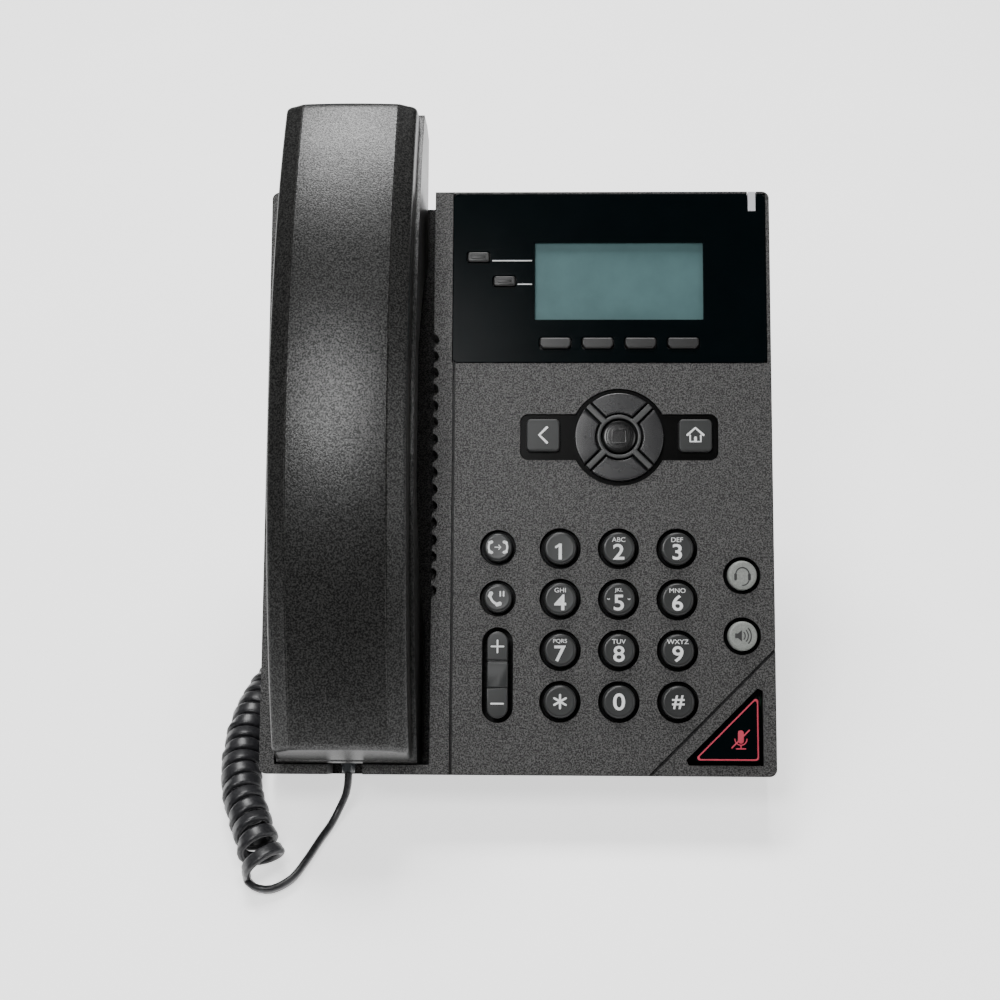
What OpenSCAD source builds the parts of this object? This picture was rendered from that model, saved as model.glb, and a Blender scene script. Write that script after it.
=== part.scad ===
// Desk telephone for network calls: tilted body on a desk stand, handset in a cradle on the left,
// display with soft keys, navigation disc, dial keys, volume rocker and a curly handset cord.
// Sub-parts are drawn in the face frame (x across the face, y up the face, z out of the face)
// and placed on the desk by on_desk(). Millimetres, Z up, feet on z = 0.

/* [Body] */
// Width of the body across the face
body_w = 172; // [168:1:180]
// Height of the body up the face
body_h = 200; // [196:1:208]
// Depth of the body behind the face
body_d = 34; // [32:1:38]
// Lean of the face from lying flat, in degrees
tilt = 40; // [36:1:44]
// Wall thickness of the mouldings
skin = 2.4; // [2:0.1:2.6]
// Height of the rubber feet
foot_h = 2; // [1.5:0.5:3]

/* [Handset] */
// Width of the handset
handset_w = 47.6; // [46:0.2:49]
// Height of the handset's arch above its ends
arch_rise = 28; // [24:1:30]

/* [Keys] */
// Distance between two dial keys across the face
pitch_u = 19.6; // [19:0.1:20]
// Distance between two dial keys up the face
pitch_v = 17.1; // [16.6:0.1:17.6]

/* [Cord] */
// Outside diameter of the curly cord
coil_d = 15.6; // [13:0.1:15.8]
// Width of the flat cord
cord_w = 4.2; // [4:0.2:5]

/* [Build] */
// Which node to draw

/* [Hidden] */
$fn = 48;
half_w = body_w / 2;
corner_r = 2.5;
front_d = 24;

// Where the face frame sits on the desk
base_z = 22;
handset_top_v = body_h + 27.5;
handset_back_w = -20;
handset_front_v = 8.16;

// Cradle
rim_w = 5;
cradle_u0 = -half_w + rim_w;
cradle_u1 = -29.2;
cradle_floor = -20.4;
cradle_rim_v = 3.3;
cradle_wall = 2.4;
vent_r = 2.1;
vent_n = 16;
vent_v0 = 61.2;
vent_v1 = 147.5;
split_u = -22.15;
split_gap = 0.1;

// Handset
handset_u = -56.5;
handset_half = handset_w / 2 - 0.4;
arch_mid_v = 116;
arch_top_w = 45;
arch_half = 112;
arch_r = (pow(arch_half, 2) + pow(arch_rise, 2)) / (2 * arch_rise);
arch_mid_w = arch_top_w - arch_r;
handset_front_w = arch_mid_w + sqrt(pow(arch_r, 2) - pow(arch_mid_v - handset_front_v, 2));
part_depth = 13;
handset_skin = 2.2;
socket_u = -57.3;
socket_w = -11.5;

// The part's middle, between the handset's lowest edge and its ear end's back corner
front_y = handset_front_v * cos(tilt) - handset_front_w * sin(tilt);
rear_y = (handset_top_v - 2) * cos(tilt) - handset_back_w * sin(tilt);
base_y = -(front_y + rear_y) / 2;

// Display
glass_u0 = -23;
glass_u1 = 84.7;
glass_v0 = 139.5;
glass_v1 = 199.3;
glass_t = 1.4;
lcd_u = 34.2;
lcd_v = 168.35;
lcd_w = 57.8;
lcd_h = 27.3;
light_u0 = 78.7;
light_u1 = 81.3;
light_v0 = 192.8;

// Keys
well_gap = 0.5;
dial_u = 33.8;
dial_v = 24.4;
cap_r = 5.3;
well_r = 6.95;
flange_top = -2.7;
flange_t = 1.1;
post_end = -5.8;
key_rise = 2;
soft_u = [12.4, 26.9, 41.5, 56.1];
soft_v = 146.4;
nav_u = 34.1;
nav_v = 113.85;
nav_r = 16.75;
nav_key_r0 = 8.1;
nav_key_r1 = 15.1;
nav_bar = 2.6;
side_key = 11.4;
side_reach = 25.8;
rocker_u = -6.7;
rocker_v = 33.2;
rocker_w = 7.2;
rocker_h = 28.9;
mute_u = 80.2;
mute_v = 5;
mute_leg = 22.6;

// Board and mat
board_top = -8.1;
board_t = 1.6;
mat_top = -6.9;
board_u0 = -13.4;
board_u1 = half_w - 4;
board_v0 = 11.5;
board_v1 = body_h - 6;

// Connectors in the bay at the back
bay_u0 = -15;
bay_u1 = 78;
bay_v0 = 54;
bay_v1 = 88;
bay_floor = -26.4;
jack_v = 70;
jack_back = -front_d;
jack_front = board_top - board_t;
handset_jack_u = -6;
headset_jack_u = 7;
network_jack_u = [24, 42];
power_jack_u = 63;

screw_at = [[-82.2, 90], [-82.2, 170], [-19, 165], [-19, 45], [80.4, 120], [64.4, 33]];
screw_r = 1.4;
boss_r = 3.3;

// Stand
relief_w = 3;
relief_v = 62;
stand_half = 50;
cheek_t = 4;
stand_y0 = 124;
stand_y1 = 152;
plunger_v = 190;

// Cord routes on the desk, in round millimetres
coil_route = [[-82, -27, 8], [-86, -17, 8], [-89, -9, 8], [-93, 2, 8], [-95, 14, 8], [-95, 28, 8],
              [-93, 41, 8], [-88, 54, 8], [-79, 67, 8], [-66, 77, 8], [-50, 83, 8], [-34, 85, 8]];
coil_shift = [0, base_y, 0];

module on_desk() {
    translate([0, base_y, base_z]) rotate([tilt, 0, 0]) children();
}

module slab(u0, u1, v0, v1, w0, w1) {
    translate([u0, v0, w0]) cube([u1 - u0, v1 - v0, w1 - w0]);
}

module disc(u, v, w0, w1, r) {
    translate([u, v, w0]) cylinder(r = r, h = w1 - w0);
}

module soft_slab(u0, u1, v0, v1, w0, w1, r) {
    slab(u0 + r, u1 - r, v0, v1, w0, w1);
    slab(u0, u1, v0 + r, v1 - r, w0, w1);
    for (u = [u0 + r, u1 - r], v = [v0 + r, v1 - r]) disc(u, v, w0, w1, r);
}

module along_v(v0, v1) {
    translate([0, v1, 0]) rotate([90, 0, 0]) linear_extrude(v1 - v0) children();
}

module along_u(u0, u1) {
    translate([u0, 0, 0]) rotate([90, 0, 90]) linear_extrude(u1 - u0) children();
}

// Everything lower than a height above the desk, in the face frame
module below(level) {
    rotate([-tilt, 0, 0]) translate([-body_w, -body_h - base_y, -body_h - base_z + level])
        cube([2 * body_w, 3 * body_h, body_h]);
}

module body_block(w0, w1) {
    difference() {
        soft_slab(-half_w, half_w, 0, body_h, w0, w1, corner_r);
        below(foot_h);
    }
}

module body_hollow(w0, w1) {
    difference() {
        slab(-half_w + skin, half_w - skin, skin, body_h - skin, w0, w1);
        below(foot_h + skin);
    }
}

// Right triangle grown by a margin, with its two sharp tips cut off
function mute_shape(grow, cut) = let (tip = grow * (1 + sqrt(2)) - cut)
    [[mute_u - mute_leg - tip, mute_v - grow], [mute_u + grow, mute_v - grow],
     [mute_u + grow, mute_v + mute_leg + tip],
     [mute_u + grow - cut * 0.7, mute_v + mute_leg + tip + cut * 0.3],
     [mute_u - mute_leg - tip - cut * 0.3, mute_v - grow + cut * 0.7]];

function dial_at(column, row) = [dial_u + (column - 1) * pitch_u, dial_v + (3 - row) * pitch_v];

module nav_well(gap, w0, w1) {
    soft_slab(nav_u - 33.6 + gap, nav_u + 33.6 - gap, nav_v - 7.95 + gap, nav_v + 7.95 - gap, w0, w1, 2.8);
    disc(nav_u, nav_v, w0, w1, nav_r - gap);
}

module stadium(u, v, width, height, w0, w1) {
    r = width / 2;
    slab(u - r, u + r, v - height / 2 + r, v + height / 2 - r, w0, w1);
    for (side = [-1, 1]) disc(u, v + side * (height / 2 - r), w0, w1, r);
}

module key_wells() {
    deep = -skin - 1;
    for (column = [0:2], row = [0:3]) disc(dial_at(column, row)[0], dial_at(column, row)[1], deep, 1, well_r);
    for (v = [75.9, 58.8]) disc(-6.75, v, deep, 1, 6.1);
    disc(75.1, 66.8, deep, 1, 6.3);
    disc(75, 46.5, deep, 1, 6.3);
    stadium(rocker_u, rocker_v, 10.4, 31.9, deep, 1);
    translate([0, 0, deep]) linear_extrude(-deep + 1) polygon(mute_shape(1.4, 2.6));
    nav_well(0, deep, 1);
}

module display_keys_holes(w0, w1) {
    for (u = soft_u) soft_slab(u - 5.7, u + 5.7, soft_v - 2.2, soft_v + 2.2, w0, w1, 0.8);
    soft_slab(-18.25, -9.95, 174.65, 178.75, w0, w1, 0.8);
    soft_slab(-9.25, -0.95, 166.15, 170.25, w0, w1, 0.8);
}

// Both front mouldings as one: the cradle at the left and the front housing with its key wells
module front_shape() difference() {
    union() {
        difference() {
            body_block(-front_d, 0);
            body_hollow(-front_d - 1, -skin);
        }
        intersection() {
            body_block(-front_d, 0);
            slab(-half_w, cradle_u1 + cradle_wall, 0, body_h, cradle_floor - 2, 0);
        }
        for (at = screw_at) disc(at[0], at[1], -front_d, -skin + 0.5, boss_r);
    }
    along_v(cradle_rim_v, body_h + 1)
        polygon([[cradle_u0 + 0.5, cradle_floor], [cradle_u1 - 1, cradle_floor], [cradle_u1, -3],
                 [cradle_u1, 1], [cradle_u0, 1], [cradle_u0, -3]]);
    slab(-63.2, -51.4, -1, cradle_rim_v + 1, -17, 1);
    for (i = [0:vent_n - 1])
        disc(cradle_u1 - 0.3, vent_v0 + i * (vent_v1 - vent_v0) / (vent_n - 1), -12, 1, vent_r);
    key_wells();
    slab(glass_u0, glass_u1, glass_v0, glass_v1, -glass_t, 1);
    slab(lcd_u - lcd_w / 2 - 1, lcd_u + lcd_w / 2 + 1, lcd_v - lcd_h / 2 - 1, lcd_v + lcd_h / 2 + 1, -4, 1);
    display_keys_holes(-4, 1);
    slab(light_u0 - 0.2, light_u1 + 0.2, light_v0, body_h + 1, -10.2, 1);
    slab(-22.7, -21.7, -1, glass_v0, -0.9, 1);
    translate([44, 0, -0.9]) rotate([0, 0, 45]) translate([-5, -0.5, 0]) cube([80, 1, 2]);
    disc(handset_u, plunger_v, -front_d - 1, cradle_floor + 1, 3.1);
    for (at = screw_at) disc(at[0], at[1], -front_d - 1, -12, screw_r + 0.1);
    translate([5, skin + 1, -12]) rotate([90, 0, 0]) cylinder(r = 0.8, h = 5);
}

module front_housing() color([0.27, 0.27, 0.27]) on_desk() intersection() {
    front_shape();
    slab(split_u, half_w + 1, -1, body_h + 1, -front_d - 1, 1);
}

module cradle() color([0.27, 0.27, 0.27]) on_desk() intersection() {
    front_shape();
    slab(-half_w - 1, split_u - split_gap, -1, body_h + 1, -front_d - 1, 1);
}

module rear_housing() color([0.2, 0.2, 0.2]) on_desk() difference() {
    union() {
        difference() {
            body_block(-body_d, -front_d);
            difference() {
                body_hollow(-body_d + skin, -front_d + 1);
                slab(-half_w, -half_w + relief_w + skin, 0, relief_v + skin, -body_d, 0);
            }
        }
        slab(bay_u0 - skin, bay_u1 + skin, bay_v0 - skin, bay_v1 + skin, -body_d + 0.5, -front_d);
        for (at = screw_at) disc(at[0], at[1], -body_d + 0.5, -front_d, boss_r);
    }
    slab(-half_w - 1, -half_w + relief_w, -1, relief_v, -body_d - 1, -front_d + 1);
    slab(bay_u0, bay_u1, bay_v0, bay_v1, -body_d - 1, bay_floor);
    slab(handset_jack_u - 4.2, headset_jack_u + 4.2, jack_v - 4.2, jack_v + 4.2, bay_floor - 1, 0);
    slab(network_jack_u[0] - 6.4, network_jack_u[1] + 6.4, jack_v - 5, jack_v + 5, bay_floor - 1, 0);
    disc(power_jack_u, jack_v, bay_floor - 1, 0, 4);
    for (at = screw_at) {
        disc(at[0], at[1], -body_d - 1, 0, screw_r + 0.2);
        disc(at[0], at[1], -body_d - 1, -body_d + 3, 2.9);
    }
    for (u = [-36, 36], v = [106, 152])
        slab(u - 4.2, u + 4.2, v - 2.2, v + 2.2, -body_d - 1, -body_d + skin + 1);
}

module display_glass() color([0.02, 0.03, 0.03]) on_desk() difference() {
    soft_slab(glass_u0 + 0.2, glass_u1 - 0.2, glass_v0 + 0.2, glass_v1 - 0.2, -glass_t, 0.2, 1.2);
    display_keys_holes(-4, 1);
    slab(light_u0 - 0.3, light_u1 + 0.3, light_v0 - 0.2, body_h, -4, 1);
}

module lcd_module() color([0.36, 0.47, 0.47]) on_desk() {
    slab(lcd_u - lcd_w / 2, lcd_u + lcd_w / 2, lcd_v - lcd_h / 2, lcd_v + lcd_h / 2, -4, -glass_t - 0.2);
    slab(lcd_u - 34, lcd_u + 34, lcd_v - 17, lcd_v + 17, -7.4, -4);
}

module main_board() color([0.1, 0.35, 0.2]) on_desk() difference() {
    slab(board_u0, board_u1, board_v0, board_v1, board_top - board_t, board_top);
    for (at = screw_at) disc(at[0], at[1], -20, 0, boss_r + 0.6);
    slab(board_u0 - 1, -6, 160, 175, -20, 0);
    slab(light_u0 - 3, board_u1 + 1, light_v0 - 2, board_v1 + 1, -20, 0);
}

module keypad_mat() color([0.1, 0.1, 0.1]) on_desk() difference() {
    slab(board_u0, board_u1 - 0.5, board_v0, glass_v0 + 12, board_top, mat_top);
    for (at = screw_at) disc(at[0], at[1], -20, 0, boss_r + 0.6);
    slab(lcd_u - 35, lcd_u + 35, glass_v0 + 10.8, glass_v0 + 13, -20, 0);
}

module nav_frame() color([0.05, 0.05, 0.05]) on_desk() difference() {
    union() {
        nav_well(0.1, -skin, -1);
        intersection() {
            disc(nav_u, nav_v, -skin, 1.4, 15.5);
            for (turn = [45, 135])
                translate([nav_u, nav_v, -skin]) rotate([0, 0, turn]) translate([-20, -nav_bar / 2, 0])
                    cube([40, nav_bar, 1.4 + skin]);
        }
        disc(nav_u, nav_v, -skin, 1.6, 7.7);
    }
    disc(nav_u, nav_v, -4, 3, 6.4);
    for (turn = [0:90:270]) nav_sector(turn, nav_key_r0 - 0.4, nav_key_r1 + 0.4, nav_bar / 2 + 0.01, -4, 3);
    for (side = [-1, 1])
        soft_slab(nav_u + side * side_reach - 6.1, nav_u + side * side_reach + 6.1,
                  nav_v + 0.5 - 6.1, nav_v + 0.5 + 6.1, -4, 3, 1.8);
}

// Quarter ring between two crossed bars, opening towards one side
module nav_sector(turn, r0, r1, bar, w0, w1) {
    reach = 2 * r1;
    shift = bar * sqrt(2);
    intersection() {
        difference() {
            disc(nav_u, nav_v, w0, w1, r1);
            disc(nav_u, nav_v, w0 - 1, w1 + 1, r0);
        }
        translate([nav_u, nav_v, w0]) rotate([0, 0, turn]) linear_extrude(w1 - w0)
            polygon([[shift, 0], [shift + reach, reach], [shift + reach, -reach]]);
    }
}

module message_light() color([0.8, 0.8, 0.82]) on_desk() {
    slab(light_u0, light_u1, light_v0 + 0.2, body_h, -2, 0.3);
    slab(light_u0, light_u1, body_h - 2, body_h, -10, -2);
}

module loudspeaker() color([0.15, 0.15, 0.16]) on_desk() {
    slab(-26.5, -22.5, 64, 145, -21.5, -3.5);
    slab(-22.5, -18, 78, 131, -19.5, -5.5);
    translate([-18, 104.5, -12.5]) rotate([0, 90, 0]) cylinder(r = 7, h = 4);
}

module microphone() color([0.6, 0.6, 0.6]) on_desk()
    translate([5, 6.2, -12]) rotate([90, 0, 0]) cylinder(r = 3, h = 3.5);

module jack(u, half_u, half_v, deep) difference() {
    slab(u - half_u - 1.6, u + half_u + 1.6, jack_v - half_v - 2, jack_v + half_v + 2, jack_back, jack_front);
    slab(u - half_u, u + half_u, jack_v - half_v, jack_v + half_v, jack_back - 1, jack_back + deep);
}

module network_jacks() color([0.72, 0.72, 0.72]) on_desk()
    for (u = network_jack_u) jack(u, 5.9, 4.2, 11);

module cord_jacks() color([0.12, 0.12, 0.12]) on_desk()
    for (u = [handset_jack_u, headset_jack_u]) jack(u, 3.95, 3.4, 11);

module power_jack() color([0.1, 0.1, 0.1]) on_desk() {
    difference() {
        slab(power_jack_u - 5, power_jack_u + 5, jack_v - 5, jack_v + 5, jack_back, jack_front);
        disc(power_jack_u, jack_v, jack_back - 1, jack_back + 9, 3.2);
    }
    disc(power_jack_u, jack_v, jack_back, jack_back + 10, 0.9);
}

module housing_screws() color([0.5, 0.5, 0.5]) on_desk() for (at = screw_at) {
    disc(at[0], at[1], -body_d + 3, -13, screw_r);
    difference() {
        disc(at[0], at[1], -body_d + 1.2, -body_d + 3, 2.6);
        for (turn = [0, 90])
            translate([at[0], at[1], -body_d + 1]) rotate([0, 0, turn]) translate([-1.5, -0.35, 0])
                cube([3, 0.7, 1.2]);
    }
}

// Point on the back of the body, as depth and height on the desk
function back_point(v, gap) = [v * cos(tilt) + (body_d + gap) * sin(tilt) + base_y,
                               v * sin(tilt) - (body_d + gap) * cos(tilt) + base_z];

module stand_profile() polygon([back_point(94, 0), back_point(166, 0), [stand_y1 + base_y, foot_h + 4],
                                [stand_y1 + base_y, foot_h], [stand_y0 + base_y, foot_h],
                                [stand_y0 + base_y - 2, foot_h + 5]]);

module desk_stand() color([0.17, 0.17, 0.17]) {
    difference() {
        along_u(-stand_half, stand_half) stand_profile();
        difference() {
            along_u(-stand_half + cheek_t, stand_half - cheek_t)
                polygon([back_point(80, 3), back_point(159, 3), [stand_y1 + base_y - 3, foot_h + 3],
                         [stand_y0 + base_y - 12, foot_h + 3]]);
            for (u = [-36, 36]) along_u(u - 1.5, u + 1.5) stand_profile();
        }
    }
    on_desk() for (u = [-36, 36], v = [106, 152])
        slab(u - 4, u + 4, v - 2, v + 2, -body_d - 1, -body_d + skin);
}

module rubber_feet() color([0.08, 0.08, 0.08]) translate([0, base_y, 0]) for (side = [-1, 1]) {
    soft_slab(side * 66 - 12, side * 66 + 12, 18.5, 27.5, 0, foot_h, 4.4);
    soft_slab(side * 36 - 12, side * 36 + 12, 132, 144, 0, foot_h, 5.9);
}

module round_key(u, v, top_r, base_r) color([0.24, 0.25, 0.25]) on_desk() {
    translate([u, v, 0.2]) cylinder(r1 = base_r, r2 = top_r, h = key_rise - 0.2);
    disc(u, v, flange_top, 0.2, base_r);
    disc(u, v, flange_top - flange_t, flange_top, base_r + 1);
    disc(u, v, post_end, flange_top - flange_t, 2);
}

module dial_key(column, row)
    round_key(dial_at(column, row)[0], dial_at(column, row)[1], cap_r, well_r - well_gap);

module side_key_cap(side) color([0.3, 0.31, 0.31]) on_desk() {
    u = nav_u + side * side_reach;
    h = side_key / 2;
    soft_slab(u - h, u + h, nav_v + 0.5 - h, nav_v + 0.5 + h, flange_top, 1.2, 1.5);
    slab(u - h - 0.6, u + h + 0.6, nav_v + 0.5 - h - 0.6, nav_v + 0.5 + h + 0.6,
         flange_top - flange_t, flange_top);
    disc(u, nav_v + 0.5, post_end, flange_top - flange_t, 2);
}

module nav_ok() color([0.07, 0.07, 0.07]) on_desk() {
    disc(nav_u, nav_v, flange_top, 1.2, 5.7);
    disc(nav_u, nav_v, flange_top - flange_t, flange_top, 6.6);
    disc(nav_u, nav_v, post_end, flange_top - flange_t, 2);
    difference() {
        soft_slab(nav_u - 3, nav_u + 3, nav_v - 3, nav_v + 3, 1.2, 1.5, 1.2);
        soft_slab(nav_u - 2.5, nav_u + 2.5, nav_v - 2.5, nav_v + 2.5, 1, 2, 0.9);
    }
}

module nav_arc(turn) color([0.28, 0.29, 0.29]) on_desk() {
    nav_sector(turn, nav_key_r0, nav_key_r1, nav_bar / 2 + 0.4, flange_top - flange_t, 1.2);
    disc(nav_u + 11.9 * cos(turn), nav_v + 11.9 * sin(turn), post_end, flange_top - flange_t, 1.8);
    disc(nav_u + 11.9 * cos(turn), nav_v + 11.9 * sin(turn), 1.2, 1.6, 0.6);
}

module bar_key(u, v, width, height) color([0.3, 0.31, 0.31]) on_desk() {
    soft_slab(u - width / 2, u + width / 2, v - height / 2, v + height / 2, flange_top, 1, 0.6);
    slab(u - width / 2 - 0.8, u + width / 2 + 0.8, v - height / 2 - 0.8, v + height / 2 + 0.8,
         flange_top - flange_t, flange_top);
    disc(u, v, post_end, flange_top - flange_t, 1.5);
}

module line_key(u, v) bar_key(u, v, 7.6, 3.4);

module soft_key(place) bar_key(soft_u[place], soft_v, 10.7, 3.75);

module volume_rocker() color([0.24, 0.25, 0.25]) on_desk() difference() {
    union() {
        stadium(rocker_u, rocker_v, rocker_w, rocker_h, -3.4, key_rise - 0.4);
        disc(rocker_u, rocker_v, post_end + 0.6, -3.4, 2);
    }
    slab(rocker_u - 5, rocker_u + 5, rocker_v + 4.2, rocker_v + 4.8, 1.1, 3);
    slab(rocker_u - 5, rocker_u + 5, rocker_v - 4.8, rocker_v - 4.2, 1.1, 3);
}

module key_mute() color([0.06, 0.06, 0.06]) on_desk() {
    translate([0, 0, flange_top]) linear_extrude(1.4 - flange_top) polygon(mute_shape(0, 1));
    translate([0, 0, flange_top - flange_t]) linear_extrude(flange_t) polygon(mute_shape(0.7, 1.5));
    disc(mute_u - 7, mute_v + 8, post_end, flange_top - flange_t, 2);
}

module hook_plunger() color([0.15, 0.15, 0.15]) on_desk() {
    disc(handset_u, plunger_v, -30.5, cradle_floor + 0.05, 2.6);
    disc(handset_u, plunger_v, -28, -26.8, 4);
}

module arch_ring(section) translate([handset_u, arch_mid_v, arch_mid_w])
    rotate([0, 90, 0]) rotate_extrude($fn = 180) polygon(section);

module handset_side() polygon([[17.7, 60], [3.7, 0], [3.7, -14], [5.5, handset_back_w],
                               [52, handset_back_w], [64, 0], [92, 20], [140, 20], [166, 0], [178, handset_back_w],
                               [handset_top_v - 2, handset_back_w], [handset_top_v, -10],
                               [handset_top_v - 4, 60]]);

module handset_envelope() intersection() {
    along_u(handset_u - handset_half, handset_u + handset_half) handset_side();
    arch_ring([[arch_r - 60, -25], [arch_r - 22, -handset_half], [arch_r - 4.5, -handset_half],
               [arch_r - 0.9, -16.3], [arch_r, 0], [arch_r - 0.9, 16.3],
               [arch_r - 4.5, handset_half], [arch_r - 22, handset_half], [arch_r - 60, 25]]);
}

module handset_hollow() {
    inner = handset_half - handset_skin;
    intersection() {
        along_u(handset_u - inner, handset_u + inner)
            polygon([[20.3, 60], [6.5, 0], [6.5, -14],
                     [8.4, handset_back_w + handset_skin], [50, handset_back_w + handset_skin],
                     [61, 2], [91, 23], [141, 23], [169, 2], [180, handset_back_w + handset_skin],
                     [223, handset_back_w + handset_skin], [224.9, -10], [221, 60]]);
        arch_ring([[arch_r - 60, -inner], [arch_r - 7, -inner], [arch_r - 3.6, -14],
                   [arch_r - 3.6, 14], [arch_r - 7, inner], [arch_r - 60, inner]]);
    }
}

module arch_inside() translate([handset_u - 40, arch_mid_v, arch_mid_w])
    rotate([0, 90, 0]) cylinder(r = arch_r - part_depth, h = 80, $fn = 180);

module handset_cover() color([0.2, 0.2, 0.2]) on_desk() difference() {
    handset_envelope();
    handset_hollow();
    arch_inside();
}

module handset_face() color([0.17, 0.17, 0.17]) on_desk() difference() {
    intersection() {
        handset_envelope();
        arch_inside();
    }
    handset_hollow();
    slab(socket_u - 4.2, socket_u + 4.2, 0, 9, socket_w - 3.7, socket_w + 3.7);
    for (turn = [0:60:300]) disc(handset_u + 6 * cos(turn), 199 + 6 * sin(turn), -25, -15, 1.1);
    disc(handset_u, 199, -25, -15, 1.1);
    disc(handset_u, 28, -25, -15, 1.1);
    for (v = [48, 181]) disc(handset_u, v, -25, -12, 1.5);
}

module receiver_capsule() color([0.5, 0.5, 0.5]) on_desk() {
    disc(handset_u, 202, -17.8, -14.8, 17);
    disc(handset_u, 202, -14.8, -8, 12);
}

module handset_microphone() color([0.7, 0.7, 0.7]) on_desk() disc(handset_u, 28, -17.8, -13, 4.8);

module handset_socket() color([0.12, 0.12, 0.12]) on_desk() difference() {
    slab(socket_u - 5.5, socket_u + 5.5, 9, 22, socket_w - 5, socket_w + 5);
    slab(socket_u - 3.95, socket_u + 3.95, 0, 19.5, socket_w - 3.4, socket_w + 3.4);
}

module handset_screws() color([0.5, 0.5, 0.5]) on_desk() for (v = [48, 181]) {
    disc(handset_u, v, -19.4, -10, 1.2);
}

module cord_plug(length) color([0.75, 0.77, 0.78, 0.9]) {
    translate([-3.8, 0, -3.1]) cube([7.6, length, 6.2]);
}

module plug_handset() color([0.1, 0.1, 0.1]) on_desk() translate([socket_u, 0, socket_w]) {
    translate([0, 7, 0]) cord_plug(12);
    translate([0, 0.5, 0]) rotate([-90, 0, 0]) cylinder(r1 = 2.1, r2 = 3, h = 6.5);
}

module plug_base() color([0.1, 0.1, 0.1]) on_desk() translate([handset_jack_u, jack_v, 0]) {
    translate([0, 0, jack_back - 3]) rotate([90, 0, 0]) cord_plug(12);
    translate([0, 0, jack_back - 10]) cylinder(r1 = 2.1, r2 = 3, h = 7);
}

// Direction of a route at one of its points
function heading(path, i) = let (a = path[max(i - 1, 0)], b = path[min(i + 1, len(path) - 1)])
    (b - a) / norm(b - a);
function sideways(d) = let (s = cross(d, abs(d[2]) > 0.95 ? [0, 1, 0] : [0, 0, 1])) s / norm(s);
function ring_at(path, i, r, sides) = let (d = heading(path, i), s = sideways(d), up = cross(s, d))
    [for (k = [0:sides - 1]) path[i] + r * (cos(360 * k / sides) * s + sin(360 * k / sides) * up)];

// Points on a smooth curve through the route's points
function curve_point(p, i, f) =
    let (a = p[max(i - 1, 0)], b = p[i], c = p[i + 1], d = p[min(i + 2, len(p) - 1)])
    0.5 * (2 * b + (c - a) * f + (2 * a - 5 * b + 4 * c - d) * f * f + (3 * b - a - 3 * c + d) * f * f * f);
function curve(p, steps) =
    [for (i = [0:len(p) - 2], k = [0:steps - 1]) curve_point(p, i, k / steps), p[len(p) - 1]];

module tube(path, r, sides) {
    rings = [for (i = [0:len(path) - 1]) each ring_at(path, i, r, sides)];
    n = len(path);
    walls = [for (i = [0:n - 2], k = [0:sides - 1])
        [i * sides + k, i * sides + (k + 1) % sides, (i + 1) * sides + (k + 1) % sides, (i + 1) * sides + k]];
    first = [for (k = [sides - 1:-1:0]) k];
    last = [for (k = [0:sides - 1]) (n - 1) * sides + k];
    polyhedron(points = rings, faces = concat([first], walls, [last]));
}

function on_desk_point(p) = [p[0], p[1] * cos(tilt) - p[2] * sin(tilt) + base_y,
                             p[1] * sin(tilt) + p[2] * cos(tilt) + base_z];

module cord_coil() color([0.13, 0.13, 0.14])
    tube([for (p = curve(coil_route, 2)) p + coil_shift], coil_d / 2, 12);

handset_tail = concat([on_desk_point([socket_u, 0.4, socket_w])],
    curve(concat([on_desk_point([socket_u, -1.6, socket_w])],
    [for (p = [[-58, 3, 8.5], [-60.5, -1, 4.4], [-63, -6, 2.4], [-66, -12, 2.2], [-70, -21, 2.2],
               [-74, -28, 2.2], [-80, -32, 2.2], [-85, -31, 3.4], [-87, -27, 6]]) p + coil_shift]), 2));

base_tail = concat([on_desk_point([handset_jack_u, jack_v, jack_back - 10])],
    curve(concat([on_desk_point([handset_jack_u, jack_v, jack_back - 12])],
    [for (p = [[-7, 82, 31], [-10, 87, 20], [-17, 88, 12], [-25, 86.5, 8.6], [-34, 85, 8]])
        p + coil_shift]), 2));

module cord_tail_handset() color([0.13, 0.13, 0.14]) tube(handset_tail, cord_w / 2 - 0.2, 8);

module cord_tail_base() color([0.13, 0.13, 0.14]) tube(base_tail, cord_w / 2 - 0.2, 8);

front_housing();
cradle();
rear_housing();
display_glass();
lcd_module();
main_board();
keypad_mat();
nav_frame();
message_light();
loudspeaker();
microphone();
network_jacks();
cord_jacks();
power_jack();
housing_screws();
desk_stand();
rubber_feet();
hook_plunger();
handset_cover();
handset_face();
receiver_capsule();
handset_microphone();
handset_socket();
handset_screws();
plug_handset();
plug_base();
cord_coil();
cord_tail_handset();
cord_tail_base();
dial_key(0, 0);  // key_1
dial_key(1, 0);  // key_2
dial_key(2, 0);  // key_3
dial_key(0, 1);  // key_4
dial_key(1, 1);  // key_5
dial_key(2, 1);  // key_6
dial_key(0, 2);  // key_7
dial_key(1, 2);  // key_8
dial_key(2, 2);  // key_9
dial_key(0, 3);  // key_star
dial_key(1, 3);  // key_0
dial_key(2, 3);  // key_hash
round_key(-6.75, 75.9, 4.5, 5.6);  // key_transfer
round_key(-6.75, 58.8, 4.5, 5.6);  // key_hold
volume_rocker();
round_key(75.1, 66.8, 4.6, 5.8);  // key_headset
round_key(75, 46.5, 4.6, 5.8);  // key_speaker
key_mute();
side_key_cap(-1);  // key_back
side_key_cap(1);  // key_home
nav_ok();
nav_arc(0);  // nav_right
nav_arc(90);  // nav_up
nav_arc(180);  // nav_left
nav_arc(270);  // nav_down
line_key(-14.1, 176.7);  // line_key_1
line_key(-5.1, 168.2);  // line_key_2
soft_key(0);  // soft_key_1
soft_key(1);  // soft_key_2
soft_key(2);  // soft_key_3
soft_key(3);  // soft_key_4
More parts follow.
